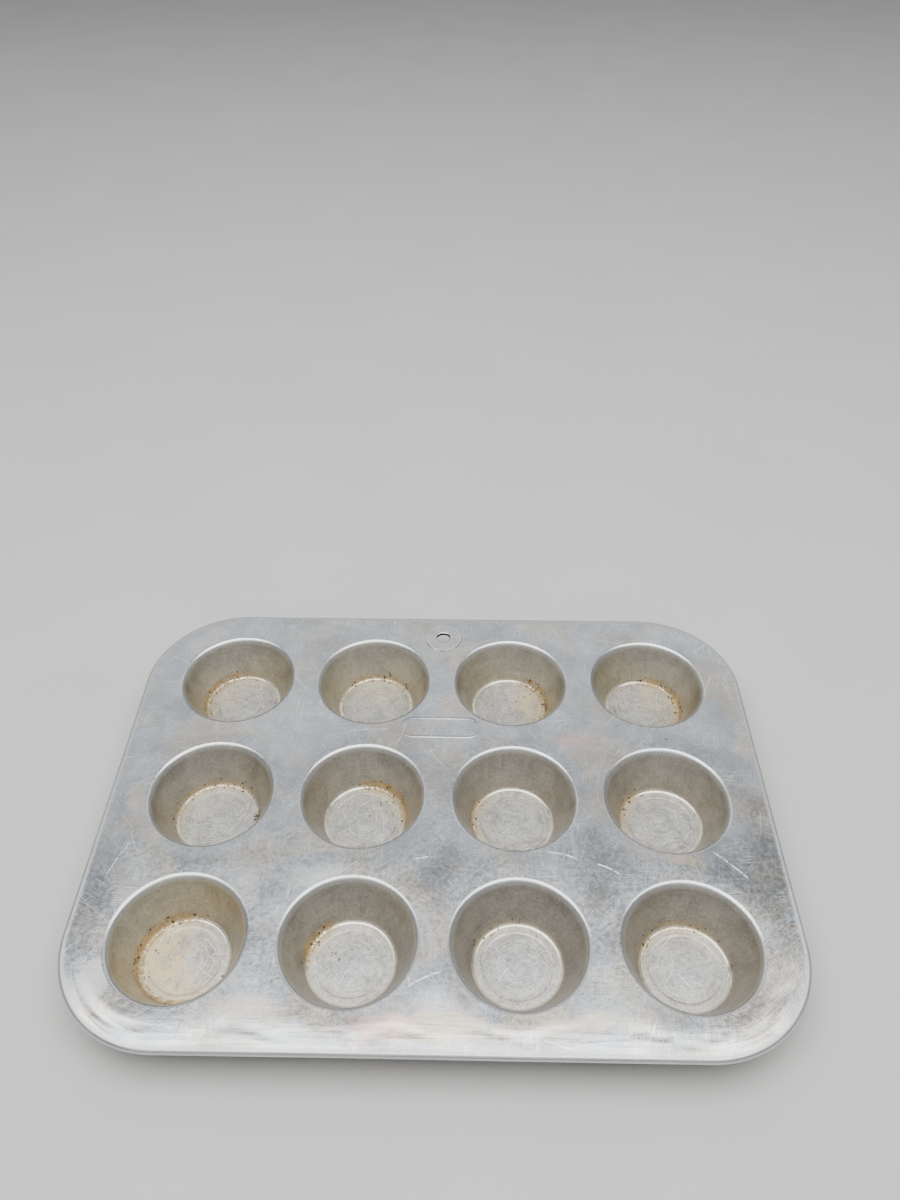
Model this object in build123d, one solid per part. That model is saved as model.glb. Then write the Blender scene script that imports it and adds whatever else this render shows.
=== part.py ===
from build123d import *

import math
import os

# A twelve-cup muffin tin of light aluminium sheet, in millimetres.
# The flat deck carries four columns and three rows of tapered cups, its edge is curled
# down round a steel wire, and a set eyelet near the rear edge takes a hook.
# Origin: middle of the plane the cup bottoms stand on. +X to the right along the long
# side, +Y to the rear edge with the hanging hole, +Z up out of the cups.

# Driving dimensions.
WIDTH = 356.0  # over the curled rim, along X
DEPTH = 275.0  # over the curled rim, along Y
CORNER_RADIUS = 55.0  # outside of the rim, nearly concentric with the corner cups
HEIGHT = 25.4  # from the plane under the cups to the top of the deck
SHEET = 0.8  # thickness of the aluminium sheet

COLUMNS = 4
COLUMN_PITCH = 82.0
ROWS = ("front", "middle", "rear")
ROW_PITCH = 83.4

# One cup, measured on its upper surface; the two radii are where straight lines would meet.
MOUTH_RADIUS = 32.9  # wall meets the deck plane
FLOOR_RADIUS = 22.4  # wall meets the floor
SHOULDER_RADIUS = 3.0  # rolls the deck over into the wall
CORNER_FILLET = 2.0  # rolls the wall into the floor
PANEL_RADIUS = 17.6  # shallow coined disc in the middle of the floor
PANEL_STEP = 0.12

# Curled rim: the sheet's edge rolled round a wire.
WIRE_RADIUS = 1.15
WIRE_CLEARANCE = 0.05
CURL_SWEEP = 285.0  # degrees the sheet's edge travels round the wire

# Eyelet that lines the hanging hole.
HOLE_Y = 119.0
HOLE_RADIUS = 4.0
EYELET_WALL = 0.65
EYELET_CLEARANCE = 0.05
FLANGE_RADIUS = 11.2
FLANGE_RISE = 0.6
FLANGE_EDGE = 0.45  # rounding of the flange's outer edge
HOLE_LIP = 0.9  # rounding where the flange turns down into the hole
CLINCH_RADIUS = 7.0  # the lower end, rolled out under the deck
CLINCH_DROP = 0.6

# Plain long cartouche with three dots in it, pressed up in the deck between two rows.
MARK_Y = 47.0
MARK_LENGTH = 46.0
MARK_WIDTH = 15.0
MARK_LINE = 1.4
MARK_RISE = 0.25
MARK_DOT_RADIUS = 2.2
MARK_DOT_PITCH = 11.0

# Worked out from the dimensions above.
WALL_LEAN = math.atan2(MOUTH_RADIUS - FLOOR_RADIUS, HEIGHT - SHEET)
SHOULDER_TANGENT = SHOULDER_RADIUS * math.tan((math.pi / 2 - WALL_LEAN) / 2)
CUP_EDGE_RADIUS = MOUTH_RADIUS + SHOULDER_TANGENT
FLOOR_EDGE_RADIUS = FLOOR_RADIUS - CORNER_FILLET * math.tan((math.pi / 2 - WALL_LEAN) / 2)
CURL_INNER = WIRE_RADIUS + WIRE_CLEARANCE
CURL_OUTER = CURL_INNER + SHEET
DECK_UNDERSIDE = HEIGHT - SHEET
BARREL_RADIUS = HOLE_RADIUS + EYELET_WALL


def rim_line(inset):
    """The tin's rounded rectangular outline, moved in from the outside of the rim."""
    return RectangleRounded(WIDTH - 2 * inset, DEPTH - 2 * inset, CORNER_RADIUS - inset)


def cup_places():
    """Name and centre of every cup, from the front left to the rear right."""
    for row, row_name in enumerate(ROWS):
        for column in range(COLUMNS):
            x = (column - (COLUMNS - 1) / 2) * COLUMN_PITCH
            y = (row - (len(ROWS) - 1) / 2) * ROW_PITCH
            yield f"cup_{row_name}_{column + 1}", (x, y)


def mark():
    """Flat outline of the pressed cartouche and its dots."""
    outside = SlotOverall(MARK_LENGTH, MARK_WIDTH)
    inside = SlotOverall(MARK_LENGTH - 2 * MARK_LINE, MARK_WIDTH - 2 * MARK_LINE)
    shape = outside - inside
    for step in (-1, 0, 1):
        shape += Pos(step * MARK_DOT_PITCH, 0) * Circle(MARK_DOT_RADIUS)
    return Pos(0, MARK_Y) * shape


def deck():
    """Flat web between the cups, up to the start of the shoulders and of the curl."""
    outline = rim_line(CURL_OUTER)
    for _, (x, y) in cup_places():
        outline -= Pos(x, y) * Circle(CUP_EDGE_RADIUS)
    outline -= Pos(0, HOLE_Y) * Circle(BARREL_RADIUS + EYELET_CLEARANCE)
    sheet = Pos(0, 0, DECK_UNDERSIDE) * extrude(outline, SHEET)
    ridge = Pos(0, 0, HEIGHT) * extrude(mark(), MARK_RISE)
    groove = Pos(0, 0, DECK_UNDERSIDE) * extrude(mark(), MARK_RISE)
    return sheet + ridge - groove


def cup():
    """One cup at the origin: shoulder, tapered wall and floor with its coined panel."""
    lean = math.degrees(WALL_LEAN)
    turn = 90 - lean
    shoulder_middle = (CUP_EDGE_RADIUS, HEIGHT - SHOULDER_RADIUS)
    corner_middle = (FLOOR_EDGE_RADIUS, SHEET + CORNER_FILLET)
    with BuildSketch(Plane.XZ) as section:
        with BuildLine():
            shoulder = CenterArc(shoulder_middle, SHOULDER_RADIUS, 90, turn)
            corner = CenterArc(corner_middle, CORNER_FILLET, -lean, -turn)
            Line(shoulder @ 1, corner @ 0)
            Line(corner @ 1, (0, SHEET))
            Line((0, SHEET), (0, 0))
            under_shoulder = CenterArc(shoulder_middle, SHOULDER_RADIUS - SHEET, 90, turn)
            under_corner = CenterArc(corner_middle, CORNER_FILLET + SHEET, -lean, -turn)
            Line(under_shoulder @ 1, under_corner @ 0)
            Line(under_corner @ 1, (0, 0))
            Line(shoulder @ 0, under_shoulder @ 0)
        make_face()
    shell = revolve(section.sketch, Axis.Z)
    panel = Pos(0, 0, SHEET - PANEL_STEP) * Cylinder(
        PANEL_RADIUS, PANEL_STEP, align=(Align.CENTER, Align.CENTER, Align.MIN)
    )
    return shell - panel


def curl_section():
    """Hook-shaped section of the curl, round the origin, starting at the top."""
    with BuildSketch() as section:
        with BuildLine():
            outside = CenterArc((0, 0), CURL_OUTER, 90, -CURL_SWEEP)
            inside = CenterArc((0, 0), CURL_INNER, 90, -CURL_SWEEP)
            Line(outside @ 0, inside @ 0)
            Line(outside @ 1, inside @ 1)
        make_face()
    return section.sketch


def swept_round_rim(section):
    """A section swept along the wire's centre line; its +X points out of the tin."""
    path = Pos(0, 0, HEIGHT - CURL_OUTER) * rim_line(CURL_OUTER).wire()
    start = Plane(
        origin=(WIDTH / 2 - CURL_OUTER, 0, HEIGHT - CURL_OUTER),
        x_dir=(1, 0, 0),
        z_dir=(0, -1, 0),
    )
    return sweep(start * section, path=path)


def eyelet():
    """Flange on the deck, barrel through the sheet and rolled clinch under it."""
    top = HEIGHT + FLANGE_RISE
    bottom = DECK_UNDERSIDE - CLINCH_DROP
    profile = Polyline(
        (HOLE_RADIUS, top),
        (FLANGE_RADIUS, top),
        (FLANGE_RADIUS, HEIGHT),
        (BARREL_RADIUS, HEIGHT),
        (BARREL_RADIUS, DECK_UNDERSIDE),
        (CLINCH_RADIUS, DECK_UNDERSIDE),
        (CLINCH_RADIUS, bottom),
        (HOLE_RADIUS, bottom),
        close=True,
    )
    body = revolve(Plane.XZ * make_face(profile), Axis.Z)

    def edge_at(radius, height):
        circles = body.edges().filter_by(GeomType.CIRCLE)
        return min(circles, key=lambda e: abs(e.radius - radius) + abs(e.center().Z - height))

    body = fillet(edge_at(FLANGE_RADIUS, top), FLANGE_EDGE)
    body = fillet(edge_at(HOLE_RADIUS, top), HOLE_LIP)
    body = fillet(edge_at(CLINCH_RADIUS, bottom), FLANGE_EDGE)
    body = fillet(edge_at(HOLE_RADIUS, bottom), FLANGE_EDGE)
    return Pos(0, HOLE_Y, 0) * body


def write(name, shape):
    export_step(shape, f"parts/{name}.step")


def main():
    os.makedirs("parts", exist_ok=True)
    write("deck_sheet", deck())
    one_cup = cup()
    for name, (x, y) in cup_places():
        write(name, Pos(x, y, 0) * one_cup)
    write("rim_curl", swept_round_rim(curl_section()))
    write("rim_wire", swept_round_rim(Circle(WIRE_RADIUS)))
    write("hanging_eyelet", eyelet())


main()
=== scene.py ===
# The muffin tin's looks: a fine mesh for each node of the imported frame, worn aluminium, studio
# light and camera.

import math
import random

import bpy
import numpy as np
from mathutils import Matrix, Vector
from mathutils.geometry import delaunay_2d_cdt


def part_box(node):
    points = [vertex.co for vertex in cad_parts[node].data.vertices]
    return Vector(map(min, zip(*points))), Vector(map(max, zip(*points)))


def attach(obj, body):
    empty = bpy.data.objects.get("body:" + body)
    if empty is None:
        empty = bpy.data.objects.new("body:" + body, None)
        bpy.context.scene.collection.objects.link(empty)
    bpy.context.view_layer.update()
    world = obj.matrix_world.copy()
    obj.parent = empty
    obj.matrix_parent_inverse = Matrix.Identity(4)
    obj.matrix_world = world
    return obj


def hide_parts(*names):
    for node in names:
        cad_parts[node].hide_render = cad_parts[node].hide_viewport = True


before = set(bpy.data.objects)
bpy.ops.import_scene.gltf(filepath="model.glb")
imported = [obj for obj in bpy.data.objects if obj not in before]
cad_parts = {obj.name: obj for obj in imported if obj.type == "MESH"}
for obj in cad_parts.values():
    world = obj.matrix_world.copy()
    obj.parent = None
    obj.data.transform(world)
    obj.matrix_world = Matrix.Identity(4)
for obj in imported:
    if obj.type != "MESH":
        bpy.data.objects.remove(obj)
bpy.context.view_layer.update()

MM = 0.001

# Sizes that the frame's boxes don't give, in metres.
SHEET = 0.8 * MM
CORNER_RADIUS = 55 * MM
MOUTH_RADIUS = 32.9 * MM
FLOOR_RADIUS = 22.4 * MM
SHOULDER_RADIUS = 3.0 * MM
FLOOR_FILLET = 2.0 * MM
PANEL_RADIUS = 17.6 * MM
PANEL_STEP = 0.12 * MM
FLOOR_CROWN = 0.25 * MM
WIRE_RADIUS = 1.15 * MM
WIRE_CLEARANCE = 0.05 * MM
CURL_SWEEP = math.radians(285)
HOLE_RADIUS = 4.0 * MM
EYELET_WALL = 0.65 * MM
EYELET_CLEARANCE = 0.05 * MM
HOLE_LIP = 0.9 * MM
FLANGE_EDGE = 0.45 * MM
CLINCH_RADIUS = 7.0 * MM
MARK_Y = 47.0 * MM
MARK_LENGTH = 46.0 * MM
MARK_WIDTH = 15.0 * MM
MARK_LINE = 1.4 * MM
MARK_RISE = 0.17 * MM
MARK_DOT_RADIUS = 2.2 * MM
MARK_DOT_PITCH = 11.0 * MM

# Worked out from the frame.
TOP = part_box("cup_front_1")[1][2]
HALF_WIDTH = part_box("rim_curl")[1][0]
HALF_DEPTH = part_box("rim_curl")[1][1]
UNDERSIDE = TOP - SHEET
CURL_INNER = WIRE_RADIUS + WIRE_CLEARANCE
CURL_OUTER = CURL_INNER + SHEET
CURL_HEIGHT = TOP - CURL_OUTER

CUPS = {
    name: ((low[0] + high[0]) / 2, (low[1] + high[1]) / 2)
    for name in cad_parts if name.startswith("cup_")
    for low, high in [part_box(name)]
}
CUP_EDGE = (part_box("cup_front_1")[1][0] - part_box("cup_front_1")[0][0]) / 2
EYELET_LOW, EYELET_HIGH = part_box("hanging_eyelet")
HOLE_Y = (EYELET_LOW[1] + EYELET_HIGH[1]) / 2
FLANGE_RADIUS = (EYELET_HIGH[0] - EYELET_LOW[0]) / 2
BARREL_RADIUS = HOLE_RADIUS + EYELET_WALL
DECK_HOLE = BARREL_RADIUS + EYELET_CLEARANCE

ROUND_STEPS = 128  # segments round a cup; the deck's holes use the same ones
STRAIGHT_STEP = 2.2 * MM  # spacing of points along the straight sides of the rim
CORNER_STEPS = 40  # segments round a corner of the rim


# ---------------------------------------------------------------------------
# How the pressed sheet is out of true
# ---------------------------------------------------------------------------

def ripples(seed, count, shortest, longest, height):
    """Plane waves in seeded directions, as (wave vector, phase, height) for each."""
    draw = random.Random(seed)
    waves = []
    for _ in range(count):
        turn = draw.uniform(0, math.pi)
        length = draw.uniform(shortest, longest)
        vector = (math.cos(turn) * math.tau / length, math.sin(turn) * math.tau / length)
        waves.append((vector, draw.uniform(0, math.tau), height / math.sqrt(count)))
    return waves


SLOW_WAVES = ripples(3, 9, 80 * MM, 230 * MM, 0.16 * MM)
FAST_WAVES = ripples(8, 12, 18 * MM, 48 * MM, 0.034 * MM)
MOUTH_DIP = 0.30 * MM  # the deck sinks towards each cup
MOUTH_REACH = 6.5 * MM
EDGE_DROP = 0.22 * MM  # and towards the curl
EDGE_REACH = 5.0 * MM
WAVE_SUM = 0.44 * MM  # keeps the sheet from rising above its flat place
CREASE_DEPTH = 0.15 * MM  # a wandering furrow along the rim, deeper in some places
CREASE_INSET = 8.0 * MM
CREASE_REACH = 2.6 * MM
CREASE_WANDER = 2.0 * MM
CREASE_WAVE = 62 * MM


def smoothstep(low, high, value):
    t = np.clip((value - low) / (high - low), 0, 1)
    return t * t * (3 - 2 * t)


def inside_outline(x, y, inset):
    """Distance inside the rounded rectangle that lies that far in from the rim's outside."""
    across = np.abs(x) - (HALF_WIDTH - CORNER_RADIUS)
    along = np.abs(y) - (HALF_DEPTH - CORNER_RADIUS)
    outer = np.hypot(np.maximum(across, 0), np.maximum(along, 0))
    return CORNER_RADIUS - inset - outer - np.minimum(np.maximum(across, along), 0)


def sag(x, y):
    """How far the sheet lies below its flat place, as a negative height."""
    height = -WAVE_SUM
    for waves in (SLOW_WAVES, FAST_WAVES):
        for (kx, ky), phase, size in waves:
            height = height + size * np.sin(kx * x + ky * y + phase)
    for cx, cy in CUPS.values():
        beyond = np.maximum(np.hypot(x - cx, y - cy) - MOUTH_RADIUS, 0)
        height = height - MOUTH_DIP * np.exp(-((beyond / MOUTH_REACH) ** 2))
    beyond = np.maximum(inside_outline(x, y, CURL_OUTER), 0)
    height = height - EDGE_DROP * np.exp(-((beyond / EDGE_REACH) ** 2))
    turn = math.tau * (x + 0.7 * y) / CREASE_WAVE
    away = beyond - CREASE_INSET - CREASE_WANDER * np.sin(turn * 1.7 + 0.6)
    depth = CREASE_DEPTH * (0.6 + 0.4 * np.sin(turn))
    return height - depth * np.exp(-((away / CREASE_REACH) ** 2))


def sink(points):
    """The sag at each point, fading out down the cups so that their bottoms stay level."""
    fade = smoothstep(2 * MM, TOP - 4 * MM, points[:, 2])
    return sag(points[:, 0], points[:, 1]) * fade


def gradient(field, points, step=0.02 * MM):
    """Slope of a scalar field at each point, by central differences."""
    slopes = []
    for axis in range(3):
        shift = np.zeros(3)
        shift[axis] = step
        slopes.append((field(points + shift) - field(points - shift)) / (2 * step))
    return np.stack(slopes, axis=1)


def settle(points, owners, normals):
    """Moves points down by the sag, and turns the normals of the corners that they own."""
    moved = points.copy()
    moved[:, 2] += sink(points)
    slope = gradient(sink, points)[owners]
    turned = normals - slope * (normals[:, 2:3] / (1 + slope[:, 2:3]))
    return moved, turned / np.linalg.norm(turned, axis=1)[:, None]


# ---------------------------------------------------------------------------
# Mesh making
# ---------------------------------------------------------------------------

class Shell:
    """Gathers points and faces, with a normal for each corner of each face."""

    def __init__(self):
        self.points = []
        self.faces = []
        self.corners = []

    def add_points(self, points):
        first = len(self.points)
        self.points.extend(tuple(p) for p in points)
        return first

    def add_face(self, face, normals):
        self.faces.append(face)
        self.corners.extend(tuple(n) for n in normals)

    def build(self, node, material):
        """Makes the object, which rides the root body and stands for its CAD node."""
        name = node + "_formed"
        owners = np.array([index for face in self.faces for index in face])
        moved, normals = settle(np.array(self.points), owners, np.array(self.corners))
        mesh = bpy.data.meshes.new(name)
        mesh.from_pydata(moved.tolist(), [], self.faces)
        mesh.polygons.foreach_set("use_smooth", [True] * len(self.faces))
        mesh.normals_split_custom_set(normals.tolist())
        mesh.materials.append(material)
        piece = bpy.data.objects.new(name, mesh)
        bpy.context.scene.collection.objects.link(piece)
        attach(piece, "root")
        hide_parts(node)
        return piece


def arc(centre, radius, start, sweep, steps, inward=False):
    """Section points (u, v, normal u, normal v) along an arc; angles in radians."""
    side = -1 if inward else 1
    points = []
    for step in range(steps + 1):
        angle = start + sweep * step / steps
        u, v = math.cos(angle), math.sin(angle)
        points.append((centre[0] + radius * u, centre[1] + radius * v, side * u, side * v))
    return points


def line(start, end, normal, steps=1):
    """Section points along a straight run, with one normal."""
    return [
        (start[0] + (end[0] - start[0]) * t, start[1] + (end[1] - start[1]) * t, *normal)
        for t in (step / steps for step in range(steps + 1))
    ]


def joined(*runs):
    """Runs that meet tangentially, as one smooth run without doubled points."""
    points = list(runs[0])
    for run in runs[1:]:
        points.extend(run[1:])
    return points


def sweep_section(shell, runs, frames):
    """Carries a closed section round frames (x, y, out x, out y); each of its runs is smooth.

    The section goes clockwise. Its u goes out along the frame and its v goes up.
    """
    section = [point for run in runs for point in run[:-1]]
    count = len(section)
    rings = []
    for x, y, out_x, out_y in frames:
        ring = [(x + u * out_x, y + u * out_y, v) for u, v, _, _ in section]
        rings.append(shell.add_points(ring))
    start = 0
    for run in runs:
        for step in range(len(run) - 1):
            here = start + step
            there = (here + 1) % count
            ends = (run[step][2:], run[step + 1][2:])
            for index, (x, y, out_x, out_y) in enumerate(frames):
                after = (index + 1) % len(frames)
                turns = (frames[index][2:], frames[after][2:])
                face = [rings[index] + here, rings[index] + there]
                face += [rings[after] + there, rings[after] + here]
                normals = [
                    (n[0] * t[0], n[0] * t[1], n[1])
                    for n, t in ((ends[0], turns[0]), (ends[1], turns[0]),
                                 (ends[1], turns[1]), (ends[0], turns[1]))
                ]
                shell.add_face(face, normals)
        start += len(run) - 1


def circle_frames(centre):
    """Frames for a revolved section, the same directions for every round thing."""
    frames = []
    for step in range(ROUND_STEPS):
        angle = math.tau * step / ROUND_STEPS
        frames.append((centre[0], centre[1], math.cos(angle), math.sin(angle)))
    return frames


def rim_frames(inset):
    """Frames round the tin's outline, that far in from the outside of the rim."""
    radius = CORNER_RADIUS - inset
    straight_x = HALF_WIDTH - CORNER_RADIUS
    straight_y = HALF_DEPTH - CORNER_RADIUS
    corners = ((1, 1, 0), (-1, 1, 1), (-1, -1, 2), (1, -1, 3))
    frames = []
    for side_x, side_y, quarter in corners:
        for step in range(CORNER_STEPS + 1):
            angle = (quarter + step / CORNER_STEPS) * math.pi / 2
            out_x, out_y = math.cos(angle), math.sin(angle)
            x = side_x * straight_x + radius * out_x
            y = side_y * straight_y + radius * out_y
            frames.append((x, y, out_x, out_y))
        length = 2 * (straight_x if quarter % 2 == 0 else straight_y)
        steps = round(length / STRAIGHT_STEP)
        x, y, out_x, out_y = frames[-1]
        for step in range(1, steps):
            run = length * step / steps
            frames.append((x - out_y * run, y + out_x * run, out_x, out_y))
    return frames


# ---------------------------------------------------------------------------
# Pieces
# ---------------------------------------------------------------------------

def cup_section():
    """Upper surface of a cup from the deck to its middle, as radius, height and normal."""
    lean = math.atan2(MOUTH_RADIUS - FLOOR_RADIUS, UNDERSIDE)
    turn = math.pi / 2 - lean
    floor_edge = FLOOR_RADIUS - FLOOR_FILLET * math.tan(turn / 2)
    shoulder = arc((CUP_EDGE, TOP - SHOULDER_RADIUS), SHOULDER_RADIUS, math.pi / 2, turn, 12)
    corner_middle = (floor_edge, SHEET + FLOOR_FILLET)
    corner = arc(corner_middle, FLOOR_FILLET, -lean, -turn, 8, inward=True)
    wall = line(shoulder[-1][:2], corner[0][:2], (-math.cos(lean), math.sin(lean)), 8)
    floor = []
    steps = 30
    for step in range(steps + 1):
        radius = floor_edge * (1 - step / steps)
        radius = max(radius, 0.05 * MM)
        height, slope = floor_shape(radius)
        length = math.hypot(1, slope)
        floor.append((radius, SHEET + height, -slope / length, 1 / length))
    return joined(shoulder, wall, corner, floor)


def floor_shape(radius):
    """Height of a cup's floor above its flat ring, and its slope outwards."""
    def height(r):
        crown = FLOOR_CROWN * max(0.0, 1 - (r / (PANEL_RADIUS * 0.96)) ** 2) ** 2
        lip = float(smoothstep(-0.5 * MM, 0.5 * MM, r - PANEL_RADIUS))
        return crown - PANEL_STEP * (1 - lip)
    step = 0.01 * MM
    return height(radius), (height(radius + step) - height(radius - step)) / (2 * step)


def make_cup(name, centre, material):
    inwards = cup_section()
    upper = inwards[::-1]
    under = [(u - SHEET * nu, v - SHEET * nv, -nu, -nv) for u, v, nu, nv in inwards]
    under = [(u, max(v, 0.0), nu, nv) for u, v, nu, nv in under]
    edge = line(upper[-1][:2], under[0][:2], (1, 0))
    middle = line(under[-1][:2], upper[0][:2], (-1, 0))
    shell = Shell()
    sweep_section(shell, [upper, edge, under, middle], circle_frames(centre))
    shell.build(name, material)


def curl_section():
    """The curled edge from the top of the deck round the wire, about the wire's middle."""
    middle = (0.0, CURL_HEIGHT)
    outside = arc(middle, CURL_OUTER, math.pi / 2, -CURL_SWEEP, 40)
    inside = arc(middle, CURL_INNER, math.pi / 2 - CURL_SWEEP, CURL_SWEEP, 32, inward=True)
    end = math.pi / 2 - CURL_SWEEP
    end_normal = (math.sin(end), -math.cos(end))
    cut = line(outside[-1][:2], inside[0][:2], end_normal)
    seam = line(inside[-1][:2], outside[0][:2], (-1, 0))
    return [outside, cut, inside, seam]


def make_rim(curl_material, wire_material):
    frames = rim_frames(CURL_OUTER)
    curl = Shell()
    sweep_section(curl, curl_section(), frames)
    curl.build("rim_curl", curl_material)
    wire = Shell()
    circle = arc((0.0, CURL_HEIGHT), WIRE_RADIUS, 0, -math.tau, 20)
    sweep_section(wire, [circle], frames)
    wire.build("rim_wire", wire_material)


def make_eyelet(material):
    quarter = math.pi / 2
    top, low = EYELET_HIGH[2], EYELET_LOW[2]
    bore_low = low + FLANGE_EDGE
    lip_middle = (HOLE_RADIUS + HOLE_LIP, top - HOLE_LIP)
    rim_middle = (FLANGE_RADIUS - FLANGE_EDGE, top - FLANGE_EDGE)
    foot_middle = (CLINCH_RADIUS - FLANGE_EDGE, bore_low)
    bore = line((HOLE_RADIUS, bore_low), (HOLE_RADIUS, lip_middle[1]), (-1, 0), 3)
    lip = arc(lip_middle, HOLE_LIP, math.pi, -quarter, 10)
    face = line(lip[-1][:2], (rim_middle[0], top), (0, 1), 8)
    rim = arc(rim_middle, FLANGE_EDGE, quarter, -quarter, 8)
    drop = line(rim[-1][:2], (FLANGE_RADIUS, TOP), (1, 0))
    below = line((FLANGE_RADIUS, TOP), (BARREL_RADIUS, TOP), (0, -1), 4)
    barrel = line((BARREL_RADIUS, TOP), (BARREL_RADIUS, UNDERSIDE), (1, 0))
    above = line((BARREL_RADIUS, UNDERSIDE), (CLINCH_RADIUS, UNDERSIDE), (0, 1))
    side = line((CLINCH_RADIUS, UNDERSIDE), (CLINCH_RADIUS, bore_low), (1, 0))
    foot = arc(foot_middle, FLANGE_EDGE, 0, -quarter, 8)
    sole = line(foot[-1][:2], (HOLE_RADIUS + FLANGE_EDGE, low), (0, -1), 2)
    inner = arc((HOLE_RADIUS + FLANGE_EDGE, bore_low), FLANGE_EDGE, -quarter, -quarter, 6)
    shell = Shell()
    runs = [joined(bore, lip, face, rim, drop), below, barrel, above,
            joined(side, foot, sole, inner)]
    sweep_section(shell, runs, circle_frames((0, HOLE_Y)))
    shell.build("hanging_eyelet", material)


def mark_distance(x, y):
    """Distance from the cartouche's line, negative inside it."""
    radius = (MARK_WIDTH - MARK_LINE) / 2
    reach = (MARK_LENGTH - MARK_WIDTH) / 2
    return np.hypot(np.maximum(np.abs(x) - reach, 0), y - MARK_Y) - radius


def mark_height(points):
    """Relief of the pressed cartouche and its three dots."""
    x, y = points[:, 0], points[:, 1]

    def ridge(distance, reach):
        return MARK_RISE * (0.5 + 0.5 * np.cos(np.pi * np.clip(distance / reach, -1, 1)))

    height = ridge(mark_distance(x, y), MARK_LINE * 0.75)
    for step in (-1, 0, 1):
        away = np.hypot(x - step * MARK_DOT_PITCH, y - MARK_Y)
        beyond = np.maximum(away - 1.0 * MM, 0)
        height = np.maximum(height, ridge(beyond, MARK_DOT_RADIUS - 0.6 * MM))
    return height


def ring(centre, radius, steps=ROUND_STEPS):
    return [
        (centre[0] + radius * math.cos(math.tau * step / steps),
         centre[1] + radius * math.sin(math.tau * step / steps))
        for step in range(steps)
    ]


def mark_points():
    """Points along the cartouche's line and round its dots, close enough to carry the relief."""
    points = []
    reach = (MARK_LENGTH - MARK_WIDTH) / 2
    for step in range(-4, 5):
        radius = (MARK_WIDTH - MARK_LINE) / 2 + step * 0.28 * MM
        for side in (-1, 1):
            for turn in range(33):
                angle = math.pi * (turn / 32 - 0.5) + (math.pi if side < 0 else 0)
                points.append((side * reach + radius * math.cos(angle),
                               MARK_Y + radius * math.sin(angle)))
            for run in range(1, 44):
                x = -reach + 2 * reach * run / 44
                points.append((x, MARK_Y + side * radius))
    for step in (-1, 0, 1):
        centre = (step * MARK_DOT_PITCH, MARK_Y)
        for index, radius in enumerate((0.5, 1.0, 1.3, 1.7, 2.1, 2.6, 3.1)):
            points += ring(centre, radius * MM, 10 + 4 * index)
    return points


def away_from_details(x, y):
    """Whether a place on the deck is clear of the rings of points round its details."""
    cups = all(math.hypot(x - cx, y - cy) > CUP_EDGE + 6.4 * MM for cx, cy in CUPS.values())
    dots = all(
        math.hypot(x - step * MARK_DOT_PITCH, y - MARK_Y) > 4.2 * MM for step in (-1, 0, 1)
    )
    rim = inside_outline(x, y, CURL_OUTER) > 8.2 * MM
    hole = math.hypot(x, y - HOLE_Y) > DECK_HOLE + 8.2 * MM
    return cups and dots and rim and hole and abs(mark_distance(x, y)) > 2.0 * MM


def deck_plan():
    """Points and loops of the deck's flat plan, ready to be triangulated."""
    loops = [[(x, y) for x, y, _, _ in rim_frames(CURL_OUTER)]]
    loops += [ring(centre, CUP_EDGE) for centre in CUPS.values()]
    loops.append(ring((0, HOLE_Y), DECK_HOLE, 64))
    extra = []
    for away in (0.8, 2.0, 3.6, 5.2):
        for centre in CUPS.values():
            extra += ring(centre, CUP_EDGE + away * MM)
    for away in (0.8, 2.0, 3.4, 5.0, 7.0):
        extra += [(x, y) for x, y, _, _ in rim_frames(CURL_OUTER + away * MM)]
    for away in (1.2, 2.8, 4.6, 6.6):
        extra += ring((0, HOLE_Y), DECK_HOLE + away * MM, 64)
    extra += mark_points()
    step = 2.5 * MM
    rows = int(HALF_DEPTH / step / 0.866)
    for row in range(-rows, rows + 1):
        for column in range(-int(HALF_WIDTH / step), int(HALF_WIDTH / step) + 1):
            x = (column + 0.5 * (row % 2)) * step
            y = row * step * 0.866
            if away_from_details(x, y):
                extra.append((x, y))
    return loops, extra


def in_a_hole(middle):
    cups = any(math.dist(middle, centre) < CUP_EDGE * 0.9999 for centre in CUPS.values())
    return cups or math.dist(middle, (0, HOLE_Y)) < DECK_HOLE * 0.999


def make_deck(material):
    loops, extra = deck_plan()
    rim_points = [point for loop in loops for point in loop]
    edges = []
    start = 0
    for loop in loops:
        edges += [(start + i, start + (i + 1) % len(loop)) for i in range(len(loop))]
        start += len(loop)
    plan = [Vector(point) for point in rim_points + extra]
    found, _, triangles, origin, _, _ = delaunay_2d_cdt(plan, edges, [], 0, 1e-9, True)
    flat = np.array([(v[0], v[1]) for v in found])
    place = {}
    for index, sources in enumerate(origin):
        for source in sources:
            place[source] = index
            if source < len(rim_points):
                flat[index] = rim_points[source]

    shell = Shell()
    relief = mark_height(flat)
    slope = gradient(mark_height, np.column_stack([flat, np.zeros(len(flat))]))
    up = np.column_stack([-slope[:, :2], np.ones(len(flat))])
    upper = shell.add_points(np.column_stack([flat, TOP + relief]))
    under = shell.add_points(np.column_stack([flat, UNDERSIDE + relief]))
    for a, b, c in triangles:
        if not in_a_hole(flat[[a, b, c]].mean(axis=0)):
            shell.add_face([upper + a, upper + b, upper + c], [up[a], up[b], up[c]])
            shell.add_face([under + c, under + b, under + a], [-up[c], -up[b], -up[a]])

    start = 0
    for number, loop in enumerate(loops):
        for i in range(len(loop)):
            a, b = place[start + i], place[start + (i + 1) % len(loop)]
            along = flat[b] - flat[a]
            out = np.array([along[1], -along[0], 0.0]) / math.hypot(*along)
            face = [upper + a, under + a, under + b, upper + b]
            if number:
                face.reverse()
                out = -out
            shell.add_face(face, [out] * 4)
        start += len(loop)
    shell.build("deck_sheet", material)


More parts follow.
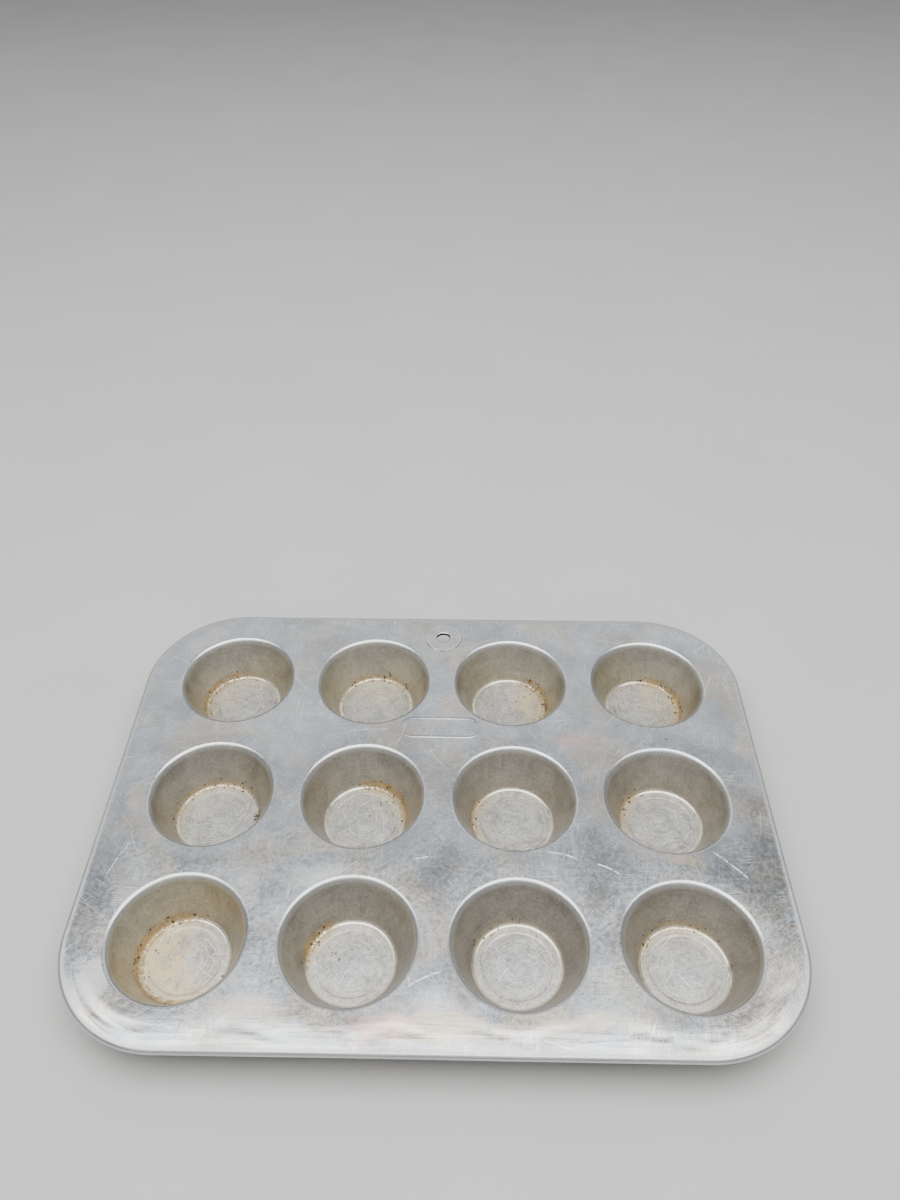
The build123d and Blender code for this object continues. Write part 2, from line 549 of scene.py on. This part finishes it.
# ---------------------------------------------------------------------------
# Materials
# ---------------------------------------------------------------------------

# Linear colours of the metal; those of the polished shoulder, the polished fillet and the eyelet's
# worn edges are also painted highlights.
COOL_SHEET = (0.580, 0.612, 0.640)
WARM_SHEET = (0.665, 0.632, 0.585)
SMOOTH_BEAD = (0.74, 0.74, 0.73)
POLISHED_SHOULDER_HIGHLIGHT = (0.92, 0.92, 0.90)
POLISHED_FILLET_HIGHLIGHT = (0.96, 0.92, 0.82)
WALL_HIGH = (0.550, 0.530, 0.490)
WALL_LOW = (0.490, 0.455, 0.395)
WALL_YELLOWED = (0.640, 0.610, 0.490)
FLOOR_MIDDLE = (0.650, 0.655, 0.650)
FLOOR_EDGE = (0.640, 0.620, 0.580)
EYELET_METAL = (0.66, 0.67, 0.67)
EYELET_WEAR_AND_HIGHLIGHT = (0.93, 0.93, 0.91)
WIRE_DARK = (0.30, 0.29, 0.28)
WIRE_LIGHT = (0.42, 0.41, 0.40)

# Linear colours of wear and residue on it; the pale wear is in places a painted highlight, and the
# eyelet's near black is painted shade.
DECK_SCRATCH = (0.98, 0.98, 0.96)
FLOOR_SCRATCH = (0.95, 0.95, 0.92)
WALL_SCRATCH = (0.80, 0.78, 0.74)
PINK_SHEEN = (0.80, 0.58, 0.55)
GOLD_SHEEN = (0.90, 0.77, 0.56)
PALE_WEAR_AND_HIGHLIGHT = (0.86, 0.84, 0.79)
DRY_SPECK = (0.30, 0.17, 0.07)
GREASE_FILM = (0.74, 0.60, 0.32)
CRUST_DARK = (0.24, 0.15, 0.07)
CRUST_LIGHT = (0.56, 0.39, 0.17)
CHAR = (0.08, 0.045, 0.025)
EYELET_PAINTED_SHADE = (0.05, 0.045, 0.04)

BACKDROP = (0.72, 0.71, 0.69)

class Field:
    """A number or vector that varies over a surface: a node's output, with arithmetic."""

    def __init__(self, look, socket):
        self.look = look
        self.socket = socket

    def __add__(self, other):
        return self.look.math("ADD", self, other)

    def __sub__(self, other):
        return self.look.math("SUBTRACT", self, other)

    def __rsub__(self, other):
        return self.look.math("SUBTRACT", other, self)

    def __mul__(self, other):
        return self.look.math("MULTIPLY", self, other)

    def __truediv__(self, other):
        return self.look.math("DIVIDE", self, other)

    def __abs__(self):
        return self.look.math("ABSOLUTE", self)

    __radd__ = __add__

    def either(self, other):
        return self.look.math("MAXIMUM", self, other)

    def both(self, other):
        return self.look.math("MINIMUM", self, other)


class Look:
    """One material, built from fields. Lengths are in millimetres in the tin's frame."""

    def __init__(self, name, metallic=1.0):
        self.material = bpy.data.materials.new(name)
        self.material.use_nodes = True
        self.tree = self.material.node_tree
        self.shader = self.tree.nodes["Principled BSDF"]
        self.shader.inputs["Metallic"].default_value = metallic
        place = self.tree.nodes.new("ShaderNodeTexCoord").outputs["Object"]
        self.place = self.vector("SCALE", Field(self, place), Scale=1 / MM)

    def feed(self, socket, value):
        if isinstance(value, Field):
            self.tree.links.new(value.socket, socket)
        elif isinstance(value, tuple) and socket.type == "RGBA":
            socket.default_value = (*value[:3], 1)
        else:
            socket.default_value = value

    def add(self, kind, inputs, output=0, **settings):
        node = self.tree.nodes.new("ShaderNode" + kind)
        for name, value in settings.items():
            setattr(node, name, value)
        for socket, value in inputs.items():
            self.feed(node.inputs[socket], value)
        return Field(self, node.outputs[output])

    def math(self, operation, *values):
        return self.add("Math", dict(enumerate(values)), operation=operation)

    def vector(self, operation, *values, output="Vector", **named):
        inputs = dict(enumerate(values))
        inputs.update(named)
        return self.add("VectorMath", inputs, output, operation=operation)

    def knob(self, name):
        """A number that each copy of the material sets for itself."""
        node = self.tree.nodes.new("ShaderNodeValue")
        node.name = name
        return Field(self, node.outputs[0])

    def split(self, place):
        node = self.add("SeparateXYZ", {"Vector": place}).socket.node
        return [Field(self, node.outputs[axis]) for axis in "XYZ"]

    def joined(self, x, y, z=0.0):
        return self.add("CombineXYZ", {"X": x, "Y": y, "Z": z})

    def shifted(self, place, x, y):
        return self.vector("ADD", place, (x, y, 0.0))

    def turned(self, place, degrees):
        inputs = {"Vector": place, "Angle": math.radians(degrees)}
        return self.add("VectorRotate", inputs, rotation_type="Z_AXIS")

    def noise(self, place, size, detail, roughness, bend=0.0):
        """Noise from 0 to 1 whose features are about that many millimetres across."""
        inputs = {"Vector": place, "Scale": 1 / size, "Detail": detail}
        inputs.update({"Roughness": roughness, "Distortion": bend})
        return self.step(self.add("TexNoise", inputs), 0.28, 0.72)

    def step(self, field, low, high):
        """0 below low, 1 above high, smooth between; the other way round if low is higher."""
        if low > high:
            return 1.0 - self.step(field, high, low)
        inputs = {"Value": field, "From Min": low, "From Max": high}
        return self.add("MapRange", inputs, interpolation_type="SMOOTHSTEP")

    def spread(self, field, low, high):
        """A field from 0 to 1 brought to run from low to high."""
        return field * (high - low) + low

    def mix(self, factor, first, second):
        """A colour that goes from the first to the second as the factor goes from 0 to 1."""
        inputs = {"Factor": factor, 6: first, 7: second}
        return self.add("Mix", inputs, 2, data_type="RGBA")

    def scaled(self, colour, factor):
        return self.vector("SCALE", colour, Scale=factor)

    def finish(self, colour, roughness, height=None, depth=0.02, metallic=None):
        """Links the fields to the shader. The height field's 0 to 1 is that many millimetres."""
        self.feed(self.shader.inputs["Base Color"], colour)
        self.feed(self.shader.inputs["Roughness"], roughness)
        if metallic is not None:
            self.feed(self.shader.inputs["Metallic"], metallic)
        if height is not None:
            inputs = {"Height": height, "Distance": depth * MM, "Strength": 1.0}
            normal = self.add("Bump", inputs)
            self.feed(self.shader.inputs["Normal"], normal)
        return self.material


def rubbed(look, flat, degrees, length, width, patch, seed):
    """Fine parallel rub marks in one direction that come and go in patches."""
    along, across, _ = look.split(look.turned(look.shifted(flat, seed, -seed), -degrees))
    streaks = look.noise(look.joined(along / length, across / width), 1.0, 4, 0.65)
    patches = look.noise(look.shifted(flat, -seed, seed), patch, 3, 0.6)
    return look.step(streaks, 0.35, 0.95) * look.step(patches, 0.35, 0.80)


def scratched(look, flat, cell, length, width, seed):
    """Single scratches, one to a cell, each with its own direction, curve and strength."""
    moved = look.vector("SCALE", look.shifted(flat, seed, seed * 0.7), Scale=1 / cell)
    inputs = {"Vector": moved, "Scale": 1.0, "Randomness": 1.0}
    colour = look.add("TexVoronoi", inputs, "Color", voronoi_dimensions="2D")
    middle = Field(look, colour.socket.node.outputs["Position"])
    chance, curve, strength = look.split(colour)
    inputs = {"Vector": look.vector("SUBTRACT", moved, middle), "Angle": chance * math.tau}
    along, across, _ = look.split(look.add("VectorRotate", inputs, rotation_type="Z_AXIS"))
    bow = (curve - 0.5) * 0.9 * along * along
    edge = look.step(abs(across + bow), width / cell, width * 0.2 / cell)
    reach = look.step(abs(along), 0.5 * length / cell, 0.30 * length / cell)
    return edge * reach * look.step(strength, 0.30, 0.95)


def speckled(look, flat, cell, size, seed):
    """Small round specks, one to a cell, of mixed sizes."""
    inputs = {"Vector": look.shifted(flat, seed, -seed), "Scale": 1 / cell, "Randomness": 1.0}
    away = look.add("TexVoronoi", inputs, "Distance", voronoi_dimensions="3D")
    colour = Field(look, away.socket.node.outputs["Color"])
    chance, _, _ = look.split(colour)
    reach = look.step(chance, 0.45, 1.0) * (size / cell)
    return look.step(away / (reach + 0.001), 1.0, 0.6)


def blot(look, flat, ragged, place, length, width, degrees=0.0):
    """A stain with a ragged edge, from its middle, half length, half width and direction."""
    local = look.turned(look.shifted(flat, -place[0], -place[1]), -degrees)
    along, across, _ = look.split(local)
    away = look.vector("LENGTH", look.joined(along / length, across / width), output="Value")
    return look.step(away + (ragged - 0.5) * 0.9, 1.25, 0.45)


def stroke(look, flat, start, end, width, bow):
    """One scratch between two places, which bows out by that much in its middle."""
    along_x, along_y = end[0] - start[0], end[1] - start[1]
    half = math.hypot(along_x, along_y) / 2
    middle = look.shifted(flat, -(start[0] + end[0]) / 2, -(start[1] + end[1]) / 2)
    turned = look.turned(middle, -math.degrees(math.atan2(along_y, along_x)))
    along, across, _ = look.split(turned)
    line = look.step(abs(across + along * along * (bow / half ** 2)), width, width * 0.2)
    return line * look.step(abs(along), half, half * 0.75)


def rim_distance(look, x, y):
    """Millimetres inside the tin's outline, negative outside it."""
    across = abs(x) - (HALF_WIDTH - CORNER_RADIUS) / MM
    along = abs(y) - (HALF_DEPTH - CORNER_RADIUS) / MM
    corner = look.joined(across.either(0.0), along.either(0.0))
    outer = look.vector("LENGTH", corner, output="Value")
    return CORNER_RADIUS / MM - outer - across.either(along).both(0.0)


def sheet_fields(look):
    """Colour, roughness and height of the worn flat sheet, with painted reflection bands along its
    front margin.
    """
    x, y, _ = look.split(look.place)
    flat = look.joined(x, y)
    cloud = look.noise(flat, 55, 3, 0.55, 0.6)
    patch = look.noise(look.shifted(flat, 31, -64), 14, 2, 0.5, 0.8)
    mottle = look.noise(look.shifted(flat, 70, 10), 2.4, 3, 0.65)
    grain = look.noise(look.shifted(flat, 20, 40), 0.7, 2, 0.7)
    rubs = rubbed(look, flat, 3, 18, 0.42, 34, 11)
    rubs = rubs.either(rubbed(look, flat, 40, 16, 0.42, 40, 57))
    rubs = rubs.either(rubbed(look, flat, -28, 14, 0.42, 42, 83) * 0.8)
    fine = rubbed(look, flat, 84, 12, 0.40, 26, 29)
    lines = scratched(look, flat, 24, 20, 0.26, 5)
    lines = lines.either(scratched(look, flat, 13, 12, 0.20, 21) * 0.8)
    lines = lines.either(scratched(look, flat, 6, 6, 0.16, 47) * 0.6)
    inset = rim_distance(look, x, y)
    margin = look.step(inset, 24, 8)
    bead = look.step(inset, 4.2, 1.6)
    flow = look.noise(look.joined(x / 34.0, inset / 3.6), 1.0, 2, 0.5, 0.7)
    tone = look.spread(cloud, 0.74, 0.86) + look.spread(patch, -0.04, 0.08)
    tone = tone + look.spread(mottle, -0.04, 0.04) + look.spread(grain, -0.15, 0.15)
    tone = tone + rubs * 0.32 + fine * 0.36 + lines * 0.90
    # Painted reflection: along the front margin the tone rises and falls in bands that follow the
    # rim; the same bands also bump the surface below.
    wavy_margin_and_reflection_bands = margin * look.step(y, -96, -122)
    tone = tone + wavy_margin_and_reflection_bands * (look.spread(flow, -0.16, 0.18) + fine * 0.20)
    tint = look.noise(look.shifted(flat, -35, 90), 38, 4, 0.6, 0.5)
    colour = look.mix(look.step(tint, 0.40, 0.85), COOL_SHEET, WARM_SHEET)
    colour = look.scaled(colour, tone)
    smooth = look.scaled(SMOOTH_BEAD, look.spread(grain, 0.86, 1.04))
    colour = look.mix(bead * 0.8, colour, smooth)
    roughness = look.spread(mottle, 0.22, 0.31) + rubs * 0.06 + look.spread(cloud, 0.05, -0.05)
    roughness = roughness - margin * 0.05 + bead * 0.22
    height = grain * 0.15 + mottle * 0.40 + rubs * 0.1 + patch * 1.6 + cloud * 2.0
    height = (height + wavy_margin_and_reflection_bands * flow * 2.5) * (1.0 - bead)
    return colour, roughness, height


# Marks on the deck: scratches as start, end and bow, then stains as middle and half sizes.
DECK_SCRATCHES = (
    ((-54.5, 43.9), (-27.2, 45.8), 0.8), ((-6.5, 28.2), (3.4, 36.2), -0.6),
    ((-11.8, -39.5), (2.9, -36.9), 0.3), ((55.0, -33.0), (73.1, -37.4), 1.2),
    ((81.4, -40.1), (93.4, -46.2), 0.6), ((140.5, -30.9), (157.8, -48.4), 0.5),
    ((168.3, 84.6), (172.0, 70.5), 0.5), ((-146.0, 60.0), (-127.0, 92.0), 1.5),
    ((-12.0, -106.0), (4.0, -98.0), 0.8), ((-166.0, -52.0), (-158.0, -30.0), 0.5),
)


def deck_material():
    look = Look("worn_deck")
    colour, roughness, height = sheet_fields(look)
    x, y, _ = look.split(look.place)
    flat = look.joined(x, y)
    ragged = look.noise(look.shifted(flat, 4, 3), 7, 4, 0.65)
    broken = look.noise(flat, 3.0, 3, 0.6)
    scratch = None
    for start, end, bow in DECK_SCRATCHES:
        line = stroke(look, flat, start, end, 0.50, bow)
        scratch = line if scratch is None else scratch.either(line)
    scratch = scratch * look.step(broken, 0.15, 0.6)
    pink = blot(look, flat, ragged, (-22, -124), 22, 9)
    pink = pink.either(blot(look, flat, ragged, (76, 39), 16, 5, 5) * 0.7)
    pink = pink.either(blot(look, flat, ragged, (9.7, -113), 1.6, 14) * 0.9)
    gold = blot(look, flat, ragged, (2, -124), 30, 8)
    gold = gold.either(blot(look, flat, ragged, (62, -121), 34, 5, 4) * 0.7)
    gold = gold.either(blot(look, flat, ragged, (-78, -118), 30, 6, -6) * 0.6)
    gold = gold.either(blot(look, flat, ragged, (-162, -6), 5, 12) * 0.8)
    gold = gold.either(blot(look, flat, ragged, (126, -38), 11, 3, -12))
    gold = gold.either(blot(look, flat, ragged, (-52, -117), 14, 3, 60) * 0.7)
    pale = blot(look, flat, ragged, (-156, -106), 9, 12, 20)
    pale = pale.either(blot(look, flat, ragged, (-77, -132), 12, 2.5) * 0.7)
    pale = pale.either(blot(look, flat, ragged, (-60, -50), 20, 8, 8) * 0.5)
    # Painted highlights: the three pale stains below, behind the rear cups, stand for reflections
    # of light; the three above are pale wear.
    pale = pale.either(blot(look, flat, ragged, (-147, 117), 18, 7, 40))
    pale = pale.either(blot(look, flat, ragged, (-82, 122), 15, 7) * 0.8)
    pale = pale.either(blot(look, flat, ragged, (20, 112), 16, 5, 15) * 0.7)
    specks = speckled(look, flat, 9, 0.9, 12) * blot(look, flat, ragged, (34, 38), 14, 6)
    specks = specks.either(blot(look, flat, broken, (172.3, -72.9), 1.3, 0.9))
    specks = specks.either(blot(look, flat, broken, (128.5, 40.5), 0.8, 0.6))
    colour = look.mix(pink * 0.70, colour, PINK_SHEEN)
    colour = look.mix(gold * 0.65, colour, GOLD_SHEEN)
    # Pale wear, and painted highlight where the stains behind the rear cups lie.
    colour = look.mix(pale * 0.50, colour, PALE_WEAR_AND_HIGHLIGHT)
    colour = look.mix(scratch, colour, DECK_SCRATCH)
    colour = look.mix(specks * 0.8, colour, DRY_SPECK)
    roughness = roughness + pale * 0.10
    return look.finish(colour, roughness, height - scratch * 5.0, 0.012)


# Baked-on residue in each cup: where round the floor it is worst and how far it reaches in
# degrees, how strong it is, how far the floor has yellowed, and how burnt its right side is.
RESIDUE = {
    "cup_front_1": (200, 170, 0.90, 0.8, 0.3), "cup_front_2": (150, 45, 1.00, 0.1, 0.0),
    "cup_front_3": (120, 60, 0.30, 0.0, 0.1), "cup_front_4": (110, 110, 0.45, 0.1, 0.4),
    "cup_middle_1": (120, 120, 0.50, 0.2, 1.0), "cup_middle_2": (45, 75, 1.00, 0.2, 0.2),
    "cup_middle_3": (175, 70, 0.50, 0.2, 0.0), "cup_middle_4": (165, 90, 0.50, 0.2, 0.1),
    "cup_rear_1": (150, 110, 0.60, 0.5, 0.0), "cup_rear_2": (90, 110, 0.50, 0.6, 0.2),
    "cup_rear_3": (10, 80, 1.00, 0.6, 0.6), "cup_rear_4": (20, 100, 0.70, 0.5, 0.2),
}


def eyelet_material():
    """Burnished aluminium, with turned marks on the flange, painted highlights on its worn rounded
    edges, and painted shade in the corner at the foot of the flange and down the bore.
    """
    look = Look("burnished_eyelet")
    local = look.shifted(look.place, 0, -HOLE_Y / MM)
    x, y, z = look.split(local)
    radius = look.vector("LENGTH", look.joined(x, y), output="Value")
    angle = look.math("ARCTAN2", y, x)
    turned = look.noise(look.joined(radius * 2.0, angle * 1.2), 1.0, 3, 0.7)
    grain = look.noise(local, 0.9, 3, 0.7)
    cloud = look.noise(local, 6, 4, 0.65)
    groove = look.step(abs(radius - 7.6), 0.35, 0.0).either(look.step(abs(radius - 9.4), 0.3, 0.0))
    tone = 0.60 + turned * 0.22 + grain * 0.24 + cloud * 0.24 - groove * 0.16
    colour = look.scaled(EYELET_METAL, tone)
    # Wear and a painted highlight: the flange's rounded rim and the hole's lip are painted near
    # white.
    worn = look.step(radius, 9.6, 10.9).either(look.step(radius, 5.4, 4.4))
    colour = look.mix(worn * 0.7, colour, EYELET_WEAR_AND_HIGHLIGHT)
    # Painted shade: a dark ring where the flange meets the deck, broken by noise, and a dark bore,
    # both painted near black.
    above = z - TOP / MM
    crevice_shade = look.step(above, 0.16, 0.0) * look.step(radius, 10.5, 11.1)
    crevice_shade = crevice_shade * look.spread(cloud, 0.0, 0.8)
    bore = look.step(above, 0.2, -0.4) * look.step(radius, 4.9, 4.3)
    colour = look.mix(crevice_shade.either(bore), colour, EYELET_PAINTED_SHADE)
    roughness = look.spread(cloud, 0.24, 0.36) - worn * 0.05
    return look.finish(colour, roughness, turned * 0.5 + grain * 0.2, 0.010)


class CupPlace:
    """Where a point lies in its own cup, in millimetres, and the noises its looks share."""

    def __init__(self, look):
        self.shift = look.knob("shift")
        self.yellowing = look.knob("yellowing")
        middle = look.joined(look.knob("x"), look.knob("y"))
        local = look.vector("SUBTRACT", look.place, middle)
        self.x, self.y, self.z = look.split(local)
        self.radius = look.vector("LENGTH", look.joined(self.x, self.y), output="Value")
        self.angle = look.math("ARCTAN2", self.y, self.x)
        aside = look.joined(self.shift, 0.0 - self.shift, self.shift)
        self.solid = look.vector("ADD", local, aside)
        self.inside = look.step(self.radius, 34.2, 31.9)
        self.floor = look.step(self.radius, 23.6, 22.7)
        self.smudge = look.noise(self.solid, 11, 5, 0.68, 0.5)
        self.bed = look.noise(look.shifted(self.solid, 0, 50), 7, 5, 0.7, 0.5)
        self.blots = look.noise(look.shifted(self.solid, 40, 0), 1.6, 4, 0.75)
        self.pores = look.noise(self.solid, 1.2, 4, 0.8)


def cup_wall(look, cup):
    """Colour and height of the drawn wall: faint upright streaks and level bands."""
    around = cup.angle * 26.0 + cup.shift
    streaks = look.noise(look.joined(around, cup.z * 0.10), 1.0, 4, 0.7)
    bands = look.noise(look.joined(cup.angle * 0.8 + cup.shift, cup.z * 0.7), 1.0, 4, 0.7)
    low = look.step(cup.z, 15, 1)
    colour = look.mix(cup.smudge * 0.6 + low * 0.4, WALL_HIGH, WALL_LOW)
    colour = look.mix(cup.yellowing * 0.7, colour, WALL_YELLOWED)
    tone = 0.36 + streaks * 0.15 + bands * 0.10 + cup.smudge * 0.36 + cup.pores * 0.34
    tone = tone + cup.yellowing * (1.0 - cup.yellowing * 0.85) * 0.45 - low * 0.06
    marks = scratched(look, look.joined(around, cup.z), 9, 8, 0.2, 3)
    colour = look.mix(marks * 0.35, look.scaled(colour, tone), WALL_SCRATCH)
    return colour, streaks * 0.3 + bands * 0.3 + cup.pores * 0.2


def cup_floor(look, cup):
    """Colour and height of the floor: scoured rings and swirls, crossed by scratches."""
    radius, angle = cup.radius, cup.angle
    rings = look.noise(look.joined(radius * 2.2, angle * 0.5 + cup.shift), 1.0, 3, 0.7)
    swirls = look.noise(look.joined(radius * 1.1, angle * 1.2 + cup.shift), 1.0, 4, 0.75)
    colour = look.mix(look.step(radius, 4, 20), FLOOR_MIDDLE, FLOOR_EDGE)
    tone = 0.02 + rings * 0.36 + swirls * 0.26 + cup.bed * 0.34 + cup.pores * 0.50
    cuts = scratched(look, cup.solid, 13, 18, 0.32, 9)
    cuts = cuts.either(scratched(look, cup.solid, 6, 7, 0.24, 33) * 0.8)
    colour = look.mix(cuts * 0.8, look.scaled(colour, tone), FLOOR_SCRATCH)
    return colour, rings * 0.5 + cup.pores * 0.3


def cup_residue(look, cup):
    """How much grease film, baked crust and char there is; most of it is round the floor."""
    radius = cup.radius
    strength = look.knob("strength")
    turn = look.math("WRAP", cup.angle - look.knob("worst"), math.pi, -math.pi)
    near = 1.0 - look.step(abs(turn) / look.knob("reach"), 0.25, 1.0)
    grime = near * strength
    crust = look.step(radius, 19.6, 20.8) * look.step(radius, 25.2, 23.2)

    film = (crust * 0.8).either(look.step(radius, 15, 20) * 0.6)
    film = film * look.step(radius, 25.0, 22.5)
    film = film.either(cup.yellowing * look.spread(cup.bed, 0.4, 1.4) * cup.floor)
    film = film * look.spread(cup.blots, 0.30, 1.0) * (grime * 1.4 + 0.30)

    baked = crust * near * look.step(cup.blots * (0.5 + cup.smudge), 0.26, 0.52)
    baked = look.step(baked * look.step(strength, 0.2, 0.9), 0.06, 0.55)

    specks = speckled(look, cup.solid, 1.8, 1.0, 5) * look.step(cup.bed, 0.15, 0.65)
    loose = look.step(radius, 24.5, 21) * grime * 0.35
    specks = specks * (crust * (grime * 1.5 + 0.15) + loose)
    right = look.step(cup.x, 19, 21.5) * look.step(abs(cup.y), 6, 2)
    soot = look.step(cup.blots, 0.30, 0.55) * right * look.step(radius, 24.5, 23)
    soot = look.step(soot * look.knob("burnt"), 0.3, 0.6)
    return film, baked, look.step(specks.either(soot), 0.05, 0.4)


def cup_look():
    """The look of a cup, with knobs for which cup it is and where its residue lies."""
    look = Look("worn_cup")
    deck_colour, deck_roughness, deck_height = sheet_fields(look)
    cup = CupPlace(look)
    wall, wall_height = cup_wall(look, cup)
    bottom, bottom_height = cup_floor(look, cup)
    film, baked, char = cup_residue(look, cup)

    # Polished wear and a painted highlight: the ring of the floor's fillet is painted near white
    # and made smoother.
    polished_fillet_and_highlight = look.step(cup.radius, 20.6, 21.3) * look.step(cup.radius, 23.0, 22.3)
    colour = look.mix(cup.floor, wall, bottom)
    colour = look.mix(polished_fillet_and_highlight * look.spread(cup.bed, 0.4, 1.0), colour, POLISHED_FILLET_HIGHLIGHT)
    colour = look.mix(film * 0.85, colour, GREASE_FILM)
    colour = look.mix(baked * 0.92, colour, look.mix(cup.smudge, CRUST_DARK, CRUST_LIGHT))
    colour = look.mix(char * 0.9, colour, CHAR)
    roughness = look.spread(cup.smudge, 0.34, 0.48) + cup.floor * 0.04
    roughness = roughness + baked * 0.1 - polished_fillet_and_highlight * 0.20
    height = wall_height * (1.0 - cup.floor) + bottom_height * cup.floor + baked * 2.0

    colour = look.mix(cup.inside, deck_colour, colour)
    # Polished wear and a painted highlight: the shoulder round each mouth is painted near white.
    shoulder = look.step(cup.radius, 34.5, 33.6) * look.step(cup.radius, 31.2, 32.4)
    shoulder_polish_and_highlight = look.scaled(POLISHED_SHOULDER_HIGHLIGHT, look.spread(cup.pores, 0.80, 1.05))
    colour = look.mix(shoulder * 0.65, colour, shoulder_polish_and_highlight)
    roughness = deck_roughness * (1.0 - cup.inside) + roughness * cup.inside
    height = deck_height * (1.0 - cup.inside) + height * cup.inside
    return look.finish(colour, roughness, height, 0.012, 1.0 - film * 0.25 - baked * 0.5)


def cup_material(pattern, name, number):
    """That cup's own copy of the cup look."""
    worst, reach, strength, yellowing, burnt = RESIDUE[name]
    x, y = CUPS[name]
    knobs = {
        "x": x / MM, "y": y / MM, "shift": 37.0 * number, "worst": math.radians(worst),
        "reach": math.radians(reach), "strength": strength, "yellowing": yellowing,
        "burnt": burnt,
    }
    material = pattern.copy()
    material.name = "worn_" + name
    for knob, value in knobs.items():
        material.node_tree.nodes[knob].outputs[0].default_value = value
    return material


def wire_material():
    look = Look("drawn_steel_wire")
    x, y, z = look.split(look.place)
    drawn = look.noise(look.joined(x, y, z * 8.0), 3, 4, 0.6)
    colour = look.mix(drawn, WIRE_DARK, WIRE_LIGHT)
    return look.finish(colour, look.spread(drawn, 0.35, 0.55), drawn, 0.01)


# ---------------------------------------------------------------------------
# Stage
# ---------------------------------------------------------------------------

def backdrop_material():
    """Plain pale matt board with hardly any mottle."""
    look = Look("pale_backdrop", metallic=0.0)
    mottle = look.noise(look.place, 90, 3, 0.5)
    grain = look.noise(look.place, 1.5, 3, 0.6)
    colour = look.scaled(BACKDROP, 0.97 + mottle * 0.03 + grain * 0.015)
    return look.finish(colour, look.spread(mottle, 0.78, 0.84))


def make_floor():
    half = 5.0
    low = -0.05 * MM  # just clear of the cup bottoms
    corners = [(-half, -half, low), (half, -half, low), (half, half, low), (-half, half, low)]
    mesh = bpy.data.meshes.new("floor")
    mesh.from_pydata(corners, [], [(0, 1, 2, 3)])
    mesh.materials.append(backdrop_material())
    floor = bpy.data.objects.new("floor", mesh)
    bpy.context.scene.collection.objects.link(floor)


def area_light(name, place, aim, size, power):
    data = bpy.data.lights.new(name, "AREA")
    data.shape = "RECTANGLE"
    data.size, data.size_y = size
    data.energy = power
    light = bpy.data.objects.new(name, data)
    light.location = place
    light.rotation_euler = (Vector(aim) - Vector(place)).to_track_quat("-Z", "Y").to_euler()
    bpy.context.scene.collection.objects.link(light)


def make_lights():
    area_light("overhead_softbox", (0.0, -0.10, 1.25), (0.0, -0.10, 0), (1.8, 1.0), 24)
    area_light("rear_panel", (-0.10, 1.35, 1.30), (0, 0, 0), (3.4, 0.8), 7.5)
    area_light("front_fill", (0.0, -1.4, 1.3), (0, 0, 0), (2.4, 1.2), 4)
    world = bpy.data.worlds.new("studio")
    world.use_nodes = True
    background = world.node_tree.nodes["Background"]
    background.inputs["Color"].default_value = (0.92, 0.95, 1.0, 1)
    background.inputs["Strength"].default_value = 0.28
    bpy.context.scene.world = world


def make_camera():
    data = bpy.data.cameras.new("camera")
    data.sensor_fit = "VERTICAL"
    data.sensor_height = 36
    data.lens = 29.0
    camera = bpy.data.objects.new("camera", data)
    camera.location = (0.0125, -0.3093, TOP + 0.4311)
    camera.rotation_euler = (math.radians(47.06), math.radians(0.07), math.radians(1.05))
    bpy.context.scene.collection.objects.link(camera)
    bpy.context.scene.camera = camera


make_camera()
sheet = deck_material()
cup_pattern = cup_look()
for cup_number, cup_name in enumerate(CUPS):
    make_cup(cup_name, CUPS[cup_name], cup_material(cup_pattern, cup_name, cup_number))
make_rim(sheet, wire_material())
make_eyelet(eyelet_material())
make_deck(sheet)
make_floor()
make_lights()
